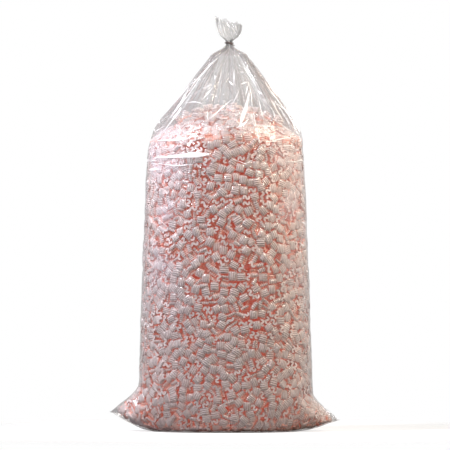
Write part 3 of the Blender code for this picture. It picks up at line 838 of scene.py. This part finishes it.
def filmGrid():
    count = sheet["columns"]
    rows = []
    for share in np.linspace(sheet["poleShare"], 1, sheet["footRows"])[:-1]:
        ring = wallPoints(ringAngles(count, 0.0), 0.0, 0.0, 0.0)
        rows.append(ring * (share, share, 1) + (0, 0, sheet["footLift"]))
    wall = np.concatenate((np.linspace(0, 1.0, sheet["bodyRows"])[:-1] * sheet["wallTop"],
                           np.linspace(sheet["wallTop"], bag["gatherHeight"], sheet["coneRows"])))
    foldsFrom, foldsFull = (bag["heapEdge"] + rise for rise in sheet["foldRows"])
    loose, tight = sheet["neckPinch"]
    for height in wall:
        angles = ringAngles(count, height)
        pleated = smoothStep(height, foldsFrom, foldsFull)
        deep = min(sheet["foldDepth"], sheet["foldShare"] * halfSpans(np.float64(height))[1]) * pleated
        rows.append(wallPoints(angles, height, deep * foldPattern(angles, height)))
    angles = ringAngles(count, 1.0)
    for height in np.linspace(bag["gatherHeight"], bag["neckHigh"], sheet["neckRows"] + 3)[1:]:
        share = float(smoothStep(height, bag["gatherHeight"], bag["neckLow"])) ** sheet["neckBend"]
        outer = bag["gatherRadius"] + (bag["neckRadius"] - bag["gatherRadius"]) * share
        deep = loose + (tight - loose) * share
        radius = outer * (1 - deep * np.clip(foldPattern(angles, height), 0, 1))
        rows.append(np.stack((neckLean(height) + radius * np.cos(angles), radius * np.sin(angles),
                              np.full(count, height)), axis=-1))
    ruffle, ragged = (
        np.array([noise.noise(Vector((fine * math.cos(a), fine * math.sin(a), place))) for a in angles])
        for fine, place in sheet["ruffles"])
    for share in np.linspace(0, 1, sheet["mouthRows"] + 1)[1:]:
        spread = np.interp(share, *sheet["mouthSpread"])
        deep = tight - sheet["mouthOpening"] * float(smoothStep(share, 0.0, sheet["mouthOpened"]))
        drifted = bag["neckHigh"] + share * sheet["mouthDrift"]
        folds = foldPattern(angles + sheet["mouthTwist"] * share, drifted)
        pinch = 1 - deep * np.clip(folds, 0, 1) + sheet["mouthRuffle"] * share * ruffle
        across = (bag["neckRadius"] + (bag["mouthHalfWidth"] - bag["neckRadius"]) * spread) * pinch
        deepwards = (bag["neckRadius"] + (bag["mouthHalfDepth"] - bag["neckRadius"]) * spread) * pinch
        x = across * np.cos(angles)
        z = bag["neckHigh"] + (bag["mouthHeight"] - bag["neckHigh"]) * share - bag["mouthTilt"] * x * share
        z = z + sheet["rimRuffle"] * share * (sheet["rimRuffleShare"] * ruffle + ragged)
        middle = bag["neckShift"] + (bag["mouthShift"] - bag["neckShift"]) * share
        rows.append(np.stack((middle + x, deepwards * np.sin(angles), z), axis=-1))
    return np.array(rows), wall


def drapeOn(grid, firstRow, lastRow, tree):
    # lets the film sink between the peanuts that it touches, and keeps it clear of them
    tangentA = np.roll(grid, -1, axis=1) - np.roll(grid, 1, axis=1)
    tangentB = np.gradient(grid, axis=0)
    normals = unit(np.cross(tangentA, tangentB))
    rise, depth = sheet["rayRise"], sheet["rayDepth"]
    offsets = np.zeros(grid.shape[:2])
    for row in range(firstRow, lastRow):
        for column in range(grid.shape[1]):
            normal = normals[row, column]
            hit = tree.ray_cast(Vector(grid[row, column] + normal * rise), Vector(-normal), rise + depth)
            offsets[row, column] = rise - hit[3] if hit[0] else -depth
    touching = wide = offsets[firstRow:lastRow]
    # the film rests on the highest places round each point
    for _ in range(2):
        wide = np.maximum(wide, np.maximum(np.roll(wide, 1, axis=1), np.roll(wide, -1, axis=1)))
        padded = np.pad(wide, ((1, 1), (0, 0)), mode="edge")
        wide = np.maximum(wide, np.maximum(padded[:-2], padded[2:]))
    for _ in range(2):
        padded = np.pad(wide, ((1, 1), (0, 0)), mode="edge")
        beside = np.roll(wide, 1, axis=1) + np.roll(wide, -1, axis=1)
        wide = (2 * wide + beside + padded[:-2] + padded[2:]) / 6
    rest = np.maximum(wide, touching) + sheet["clearance"]
    return np.clip(rest, -sheet["drape"], sheet["drapeRise"]), normals


def makeFilm():
    grid, wall = filmGrid()
    foot = sheet["footRows"] - 1
    heights = np.concatenate((np.zeros(foot), wall))
    points, faces = np.zeros((0, 3)), []
    for piece in (*pieces[:3], loosePeanuts):
        faces.extend(tuple(v + len(points) for v in cell.vertices) for cell in piece.data.polygons)
        points = np.concatenate((points, meshPoints(piece.data)))
    tree = surfaceTree(points, faces)
    last = int(np.searchsorted(heights, bag["heapEdge"] + 0.05))
    offsets, normals = drapeOn(grid, foot, last, tree)
    fade = 1 - smoothStep(heights[foot:last], bag["heapEdge"] - 0.03, bag["heapEdge"] + 0.05)
    start = smoothStep(heights[foot:last], 0.0, 0.05)
    offsets = offsets * (fade * start)[:, None]
    grid[foot:last] += normals[foot:last] * offsets[..., None]
    # crumples: sharp little ridges, always outwards
    crumple = np.zeros(grid.shape[:2])
    for row in range(foot + 3, len(heights)):
        for column in range(grid.shape[1]):
            place = Vector(grid[row, column] * sheet["crumpleScale"])
            large = 1 - 2 * abs(noise.noise(place))
            small = 1 - 2 * abs(noise.noise(place * sheet["smallCrumples"] + Vector((5, 1, 3))))
            crumple[row, column] = large ** 4 + sheet["smallShare"] * small ** 3
    grid += normals * (crumple * sheet["crumple"])[..., None]
    grid[foot:, :, 2] = np.maximum(grid[foot:, :, 2], 2 * sheet["footLift"])
    columns = sheet["columns"]
    cells = [tuple(f) for f in gridFaces(len(grid), columns).tolist()]
    flat = grid.reshape(-1, 3)
    centre = len(flat)
    flat = np.concatenate((flat, [(0.0, 0.0, sheet["footLift"])]))
    cells += [(centre, (k + 1) % columns, k) for k in range(columns)]
    piece = meshObject("filmBag", flat, cells, filmFinish)
    height, sideways = grid[..., 2], np.abs(grid[..., 0])
    looseFilmAndPaintedLight = smoothStep(height, bag["heapEdge"] - 0.02, bag["heapEdge"] + 0.10)
    # painted sheen over the heap's dome, and painted shade that greys the drawn-out corners
    domeSheen = looseFilmAndPaintedLight * (1 - smoothStep(height, bag["heapTop"], bag["heapTop"] + 0.08))
    looseFilmAndPaintedLight = looseFilmAndPaintedLight + sheet["domeSheen"] * domeSheen + sheet["earShade"] * smoothStep(sideways, *sheet["earRange"])
    # painted sheen: patchy lighter haze on the sides of the upper body, where the lamps catch the film
    shoulder = smoothStep(height, *sheet["sideSheenFrom"]) * (1 - smoothStep(height, *sheet["sideSheenTo"]))
    patches = np.array([noise.noise(Vector(p) * sheet["sideSheenScale"]) for p in grid.reshape(-1, 3).tolist()])
    patches = np.clip(patches.reshape(looseFilmAndPaintedLight.shape) * 1.2 + 0.5, 0, 1)
    sideSheen = shoulder * patches * smoothStep(sideways, *sheet["sideSheenSides"])
    # whiter along the crumple ridges: partly the film's own stress whitening, partly painted highlight
    crease = np.clip(crumple - sheet["crumpleFrom"], 0, 1) * sheet["crumpleHaze"]
    for name, values in (("crease", crease), ("looseFilmAndPaintedLight", looseFilmAndPaintedLight), ("sideSheen", sideSheen)):
        setAttribute(piece.data, name, np.concatenate((values.ravel(), [0])))
    return piece


filmBag = makeFilm()
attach(filmBag, "root")
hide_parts("film_bag")
print("film draped:", len(filmBag.data.polygons), "faces")


# sharp tucks that stand on the film, painted white with a slight glow as highlights along its folds: the
# points of each across and up in metres, its width, the strength of its painted highlight and where it is
# widest
frontCreases = [
    ([(-0.048, 1.448), (-0.044, 1.436), (-0.040, 1.421)], 0.0112, 0.95, 0.5),
    ([(-0.013, 1.429), (-0.059, 1.387), (-0.108, 1.334), (-0.158, 1.265)], 0.0040, 0.75, 0.5),
    ([(-0.025, 1.421), (-0.051, 1.398), (-0.086, 1.372)], 0.0032, 0.55, 0.5),
    ([(-0.040, 1.349), (-0.040, 1.330)], 0.0072, 0.6, 0.5),
    ([(-0.044, 1.303), (-0.067, 1.277), (-0.089, 1.250)], 0.0048, 0.7, 0.5),
    ([(0.013, 1.326), (0.021, 1.315), (0.029, 1.307)], 0.0072, 0.9, 0.5),
    ([(0.032, 1.372), (0.032, 1.341), (0.032, 1.307)], 0.0032, 0.9, 0.5),
    ([(0.089, 1.322), (0.074, 1.319), (0.055, 1.311)], 0.0040, 0.9, 0.5),
    ([(0.089, 1.322), (0.082, 1.296), (0.074, 1.265)], 0.0048, 0.9, 0.5),
    ([(0.089, 1.322), (0.097, 1.273), (0.101, 1.220)], 0.0040, 0.9, 0.5),
    ([(0.104, 1.398), (0.123, 1.376), (0.146, 1.349)], 0.0048, 0.6, 0.5),
    ([(0.173, 1.319), (0.184, 1.284), (0.192, 1.243)], 0.0032, 0.5, 0.5),
    ([(-0.150, 1.243), (-0.116, 1.246), (-0.082, 1.235)], 0.0048, 0.75, 0.5),
    ([(-0.158, 1.227), (-0.203, 1.174), (-0.245, 1.117)], 0.0040, 0.75, 0.5),
    ([(0.025, 1.254), (-0.017, 1.216), (-0.063, 1.174)], 0.0040, 0.85, 0.5),
    ([(-0.067, 1.212), (-0.067, 1.189), (-0.067, 1.167)], 0.0040, 0.8, 0.5),
    ([(0.092, 1.290), (0.078, 1.225), (0.052, 1.150)], 0.0240, 0.62, 0.75),
    ([(0.083, 1.406), (0.133, 1.352), (0.207, 1.286), (0.265, 1.220)], 0.0040, 0.7, 0.5),
    ([(0.112, 1.327), (0.165, 1.269), (0.232, 1.228)], 0.0032, 0.6, 0.5),
    ([(-0.074, 1.377), (-0.116, 1.311), (-0.144, 1.282)], 0.0032, 0.55, 0.5),
    ([(-0.028, 1.556), (-0.020, 1.530), (-0.012, 1.509)], 0.0036, 0.7, 0.5),
    ([(0.002, 1.552), (0.010, 1.541), (0.018, 1.533)], 0.0090, 0.9, 0.5),
    ([(-0.010, 1.545), (-0.003, 1.520), (0.006, 1.496)], 0.0034, 0.75, 0.5),
    ([(0.022, 1.535), (0.034, 1.521), (0.030, 1.508)], 0.0044, 0.9, 0.5),
    ([(0.036, 1.545), (0.040, 1.532), (0.041, 1.520)], 0.0050, 0.8, 0.5),
    ([(0.086, 1.174), (0.059, 1.151), (0.036, 1.140)], 0.0072, 0.9, 0.5),
    ([(0.104, 1.212), (0.116, 1.136), (0.131, 1.068)], 0.0032, 0.85, 0.5),
    ([(0.177, 1.250), (0.215, 1.227), (0.257, 1.189)], 0.0040, 0.8, 0.5),
    ([(0.169, 1.186), (0.222, 1.151), (0.276, 1.117)], 0.0032, 0.75, 0.5),
    ([(0.276, 1.117), (0.218, 1.106), (0.154, 1.087)], 0.0056, 0.85, 0.5),
    ([(-0.262, 1.100), (-0.203, 1.099), (-0.142, 1.103)], 0.0140, 0.85, 0.7),
    ([(-0.275, 1.034), (-0.173, 1.038), (-0.060, 1.043)], 0.0270, 0.9, 0.80),
    ([(-0.250, 1.011), (-0.188, 1.002), (-0.120, 1.005)], 0.0080, 0.8, 0.6),
    ([(0.060, 1.310), (0.040, 1.262), (0.010, 1.205)], 0.0030, 0.5, 0.5),
    ([(0.118, 1.290), (0.133, 1.215), (0.150, 1.150)], 0.0034, 0.55, 0.5),
    ([(-0.100, 1.330), (-0.150, 1.262), (-0.205, 1.200)], 0.0034, 0.55, 0.5),
    ([(-0.010, 1.400), (-0.020, 1.340), (-0.038, 1.285)], 0.0030, 0.5, 0.5),
    ([(0.060, 1.395), (0.085, 1.355), (0.120, 1.300)], 0.0040, 0.6, 0.4),
    ([(0.025, 1.026), (0.055, 1.015), (0.074, 1.007), (0.120, 1.030)], 0.0040, 0.85, 0.5),
    ([(-0.294, 0.201), (-0.260, 0.160), (-0.230, 0.118)], 0.0040, 0.7, 0.5),
    ([(-0.230, 0.118), (-0.245, 0.110), (-0.260, 0.106)], 0.0032, 0.7, 0.5),
]
creases = {
    "step": 0.006, "lift": 0.0009, "crest": 0.22, "otherSides": (0, 90, 180), "perSide": 20, "seed": 21,
    "section": ((-1.0, 0.0), (-0.35, 1.0), (0.35, 1.0), (1.0, 0.0)), "taper": 0.8,
    "widths": (0.004, 0.005, 0.006, 0.008),
    "down": {"upTo": 0.55, "lean": (-0.55, 0.55), "top": (1.18, 1.40), "long": (0.05, 0.14),
             "highlightStrength": (0.5, 0.9)},
    "fork": {"upTo": 0.80, "x": (-0.2, 0.2), "z": (1.03, 1.2), "reach": (0.03, 0.08), "rise": (0.0, 0.05)},
    "shoulder": {"x": (-0.2, 0.1), "z": (0.98, 1.11), "long": (0.06, 0.13), "bend": (-0.006, 0.006),
                 "widths": (0.006, 0.014), "highlightStrength": (0.6, 0.9), "peak": (0.3, 0.8)},
}


def otherCreases(seed):
    # the same kinds of tuck for the sides that the front doesn't show
    rng = random.Random(seed)
    made = []
    for _ in range(creases["perSide"]):
        kind = rng.random()
        width = rng.choice(creases["widths"])
        down, fork, shoulder = creases["down"], creases["fork"], creases["shoulder"]
        if kind < down["upTo"]:          # down and outwards from the neck
            lean, top, long = (rng.uniform(*down[name]) for name in ("lean", "top", "long"))
            x = lean * (1.45 - top)
            line = [(x, top), (x + lean * long / 2, top - long / 2 + 0.004), (x + lean * long, top - long)]
            made.append((line, width, rng.uniform(*down["highlightStrength"]), 0.5))
        elif kind < fork["upTo"]:        # a fold with two arms at the shoulder
            x, z = rng.uniform(*fork["x"]), rng.uniform(*fork["z"])
            for arm in (-1, 1):
                reach = rng.uniform(*fork["reach"])
                made.append(([(x, z), (x + arm * reach, z + rng.uniform(*fork["rise"]))], width, 0.8, 0.2))
        else:                            # along the shoulder
            x, z, long, bend = (rng.uniform(*shoulder[name]) for name in ("x", "z", "long", "bend"))
            made.append(([(x, z), (x + long / 2, z + bend), (x + long, z)], rng.choice(shoulder["widths"]),
                         rng.uniform(*shoulder["highlightStrength"]), rng.uniform(*shoulder["peak"])))
    return made


def tuckStrips(view, lines, tree, points, faces, values):
    out = np.array((math.cos(view), math.sin(view), 0.0))
    side = np.array((-math.sin(view), math.cos(view), 0.0))
    for line, width, highlightStrength, peak in lines:
        line = np.array(line)
        lengths = np.linalg.norm(np.diff(line, axis=0), axis=1)
        marks = np.concatenate(((0,), np.cumsum(lengths)))
        count = max(4, int(marks[-1] / creases["step"]))
        along = np.linspace(0, marks[-1], count + 1)
        across = np.interp(along, marks, line[:, 0])
        up = np.interp(along, marks, line[:, 1])
        flow = np.stack((np.gradient(across), np.gradient(up)), axis=1)
        flow = flow / np.linalg.norm(flow, axis=1, keepdims=True)
        rows = []
        for k in range(count + 1):
            share = (k + 0.12) / (count + 0.24)
            taper = min(share / peak, (1 - share) / (1 - peak)) ** creases["taper"]
            half = width / 2 * taper
            row = []
            for place, value in creases["section"]:
                u = across[k] - flow[k, 1] * half * place
                z = up[k] + flow[k, 0] * half * place
                hit = tree.ray_cast(Vector(out * 2 + side * u + (0, 0, z)), Vector(-out), 3.0)
                if hit[0] is None:
                    break
                rise = creases["lift"] + creases["crest"] * half * value
                row.append((np.array(hit[0]) + out * rise, value * highlightStrength))
            if len(row) < 4:
                rows = []
                break
            rows.append(row)
        for k, row in enumerate(rows):
            for j, (place, value) in enumerate(row):
                points.append(place)
                values.append(value)
                if k and j:
                    here = len(points) - 1
                    faces.append((here - 1, here, here - 4, here - 5))


def makeTucks():
    mesh = filmBag.data
    tree = surfaceTree(meshPoints(mesh), [tuple(p.vertices) for p in mesh.polygons])
    points, faces, values = [], [], []
    tuckStrips(math.radians(-90), frontCreases, tree, points, faces, values)
    for k, view in enumerate(creases["otherSides"]):
        tuckStrips(math.radians(view), otherCreases(creases["seed"] + k), tree, points, faces, values)
    piece = meshObject("filmCreases", np.array(points), faces, highlightTuckFinish)
    setAttribute(piece.data, "crease", np.array(values))
    return piece


filmCreases = makeTucks()
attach(filmCreases, "root")
print("creases:", len(filmCreases.data.polygons), "faces")


tie = {
    "wire": 0.0011, "clearance": 0.0002, "turns": 2, "tailLength": 0.027, "twists": 3,
    "way": (0.68, -0.46, -0.42), "steps": 40, "twistSteps": 12, "roundness": 2, "height": 1.476,
}


def tiePath():
    ring = bag["neckRadius"] + tie["clearance"] + tie["wire"]
    pitch = 2 * tie["wire"] + tie["clearance"]
    centre = Vector((float(neckLean(tie["height"])), 0, tie["height"]))
    start = centre - Vector((0, ring + 2 * pitch, 0))
    way = Vector(tie["way"]).normalized()
    upward = (Vector((0, 0, 1)) - way * way.z).normalized()
    sideways = way.cross(upward)

    def strand(phase):
        steps = tie["twistSteps"] * tie["twists"]
        made = []
        for k in range(steps + 1):
            turn = 2 * math.pi * tie["twists"] * k / steps + phase
            swing = upward * math.cos(turn) + sideways * math.sin(turn)
            made.append(start + way * tie["tailLength"] * k / steps + swing * pitch / 2)
        return made

    steps = tie["turns"] * tie["steps"]
    loop = []
    for k in range(1, steps):
        angle = 2 * math.pi * tie["turns"] * k / steps - math.pi / 2
        rise = pitch * tie["turns"] * (k / steps - 0.5)
        loop.append(centre + Vector((ring * math.cos(angle), ring * math.sin(angle), rise)))
    return [*reversed(strand(math.pi)), *loop, *strand(0)]


def makeTie():
    curve = bpy.data.curves.new("wireTie", "CURVE")
    curve.dimensions = "3D"
    curve.bevel_depth = tie["wire"]
    curve.bevel_resolution = tie["roundness"]
    curve.use_fill_caps = True
    path = tiePath()
    spline = curve.splines.new("POLY")
    spline.points.add(len(path) - 1)
    for knot, point in zip(spline.points, path):
        knot.co = (*point, 1.0)
    mesh = meshOf(inScene("tieCurve", curve), "wireTie")
    mesh.materials.clear()
    mesh.materials.append(wireFinish)
    mesh.shade_smooth()
    return inScene("wireTie", mesh)


wireTie = makeTie()
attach(wireTie, "root")
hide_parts("wire_tie")


studio = {
    "floorSize": 3.6, "fadeFrom": 0.9, "floorColour": (0.37, 0.37, 0.37), "floorLift": 0.70,
    "ambient": 0.105, "ambientColour": (1.0, 0.80, 0.66),
    "lamps": [
        # name, place, size, power, colour
        ("keyLamp", (-2.9, -2.0, 3.7), 1.0, 39, (0.91, 0.905, 1.0)),
        ("fillLamp", (2.9, -1.9, 3.3), 1.2, 24, (1.0, 0.87, 0.71)),
        ("backLamp", (1.5, 3.2, 2.6), 1.8, 12, (1.0, 1.0, 1.0)),
        ("topLamp", (0.0, -1.5, 4.2), 1.4, 4.5, (1.0, 0.94, 0.88)),
    ],
    "lampAim": (0.0, 0.0, 1.14), "lampSpread": math.radians(60),
    "cameraFar": 16.0, "cameraRise": math.radians(-1.0), "aim": (-0.002, 0.0, 0.783), "frameHeight": 1.712,
    "filmWidth": 36, "cameraReach": 100, "filmLayers": 24,     # see-through layers that light may cross
}


def makeFloor():
    finish = Finish("paleFloor")
    half = studio["floorSize"] / 2
    seen = finish.node("ShaderNodeLightPath", None, None, "Is Camera Ray")
    white = finish.node("ShaderNodeEmission", None,
                        {"Color": (1, 1, 1), "Strength": seen * studio["floorLift"]})
    dull = finish.node("ShaderNodeBsdfDiffuse", None, {"Color": studio["floorColour"]})
    lit = finish.node("ShaderNodeAddShader", None, {0: white, 1: dull})
    far = finish.node("ShaderNodeVectorMath", {"operation": "LENGTH"}, {0: finish.objectPlace()}, "Value")
    clear = finish.node("ShaderNodeBsdfTransparent", None, {"Color": (1, 1, 1)})
    pale = finish.output(finish.blend(finish.ease(far, studio["fadeFrom"], half), lit, clear))
    floor = meshObject("floor", [(-half, -half, 0), (half, -half, 0), (half, half, 0), (-half, half, 0)],
                       [(0, 1, 2, 3)], pale, smooth=False)


def makeWorld():
    # white to the camera and in reflections, and a dim warm light on everything
    finish = Finish("studioAir", bpy.data.worlds.new("studioAir"))
    rays = [finish.node("ShaderNodeLightPath", None, None, name)
            for name in ("Is Camera Ray", "Is Glossy Ray", "Is Transmission Ray")]
    seen = rays[0].math("MAXIMUM", rays[0], rays[1])
    seen = seen.math("MAXIMUM", seen, rays[2])
    strength = finish.node("ShaderNodeMapRange", None, {"Value": seen, "To Min": studio["ambient"]})
    air = finish.node("ShaderNodeBackground", None, {
        "Color": finish.mix(seen, studio["ambientColour"], (1, 1, 1)), "Strength": strength})
    bpy.context.scene.world = finish.output(air, "ShaderNodeOutputWorld")


def makeLamps():
    target = Vector(studio["lampAim"])
    for name, place, size, power, colour in studio["lamps"]:
        lamp = bpy.data.lights.new(name, "AREA")
        lamp.shape, lamp.size, lamp.energy, lamp.color = "SQUARE", size, power, colour
        lamp.spread = studio["lampSpread"]
        holder = inScene(name, lamp)
        holder.location = place
        holder.rotation_euler = (target - Vector(place)).to_track_quat("-Z", "Y").to_euler()


def makeCamera():
    camera = bpy.data.cameras.new("camera")
    holder = inScene("camera", camera)
    rise, far = studio["cameraRise"], studio["cameraFar"]
    aim = Vector(studio["aim"])
    holder.location = aim + Vector((0, -math.cos(rise), math.sin(rise))) * far
    holder.rotation_euler = (aim - holder.location).to_track_quat("-Z", "Y").to_euler()
    camera.sensor_width = studio["filmWidth"]
    camera.lens = studio["filmWidth"] * far / studio["frameHeight"]
    camera.clip_end = studio["cameraReach"]
    bpy.context.scene.camera = holder


makeFloor()
makeWorld()
makeLamps()
makeCamera()
bpy.context.scene.view_settings.view_transform = "Standard"
bpy.context.scene.cycles.transparent_max_bounces = studio["filmLayers"]
print("floor, light and camera set")
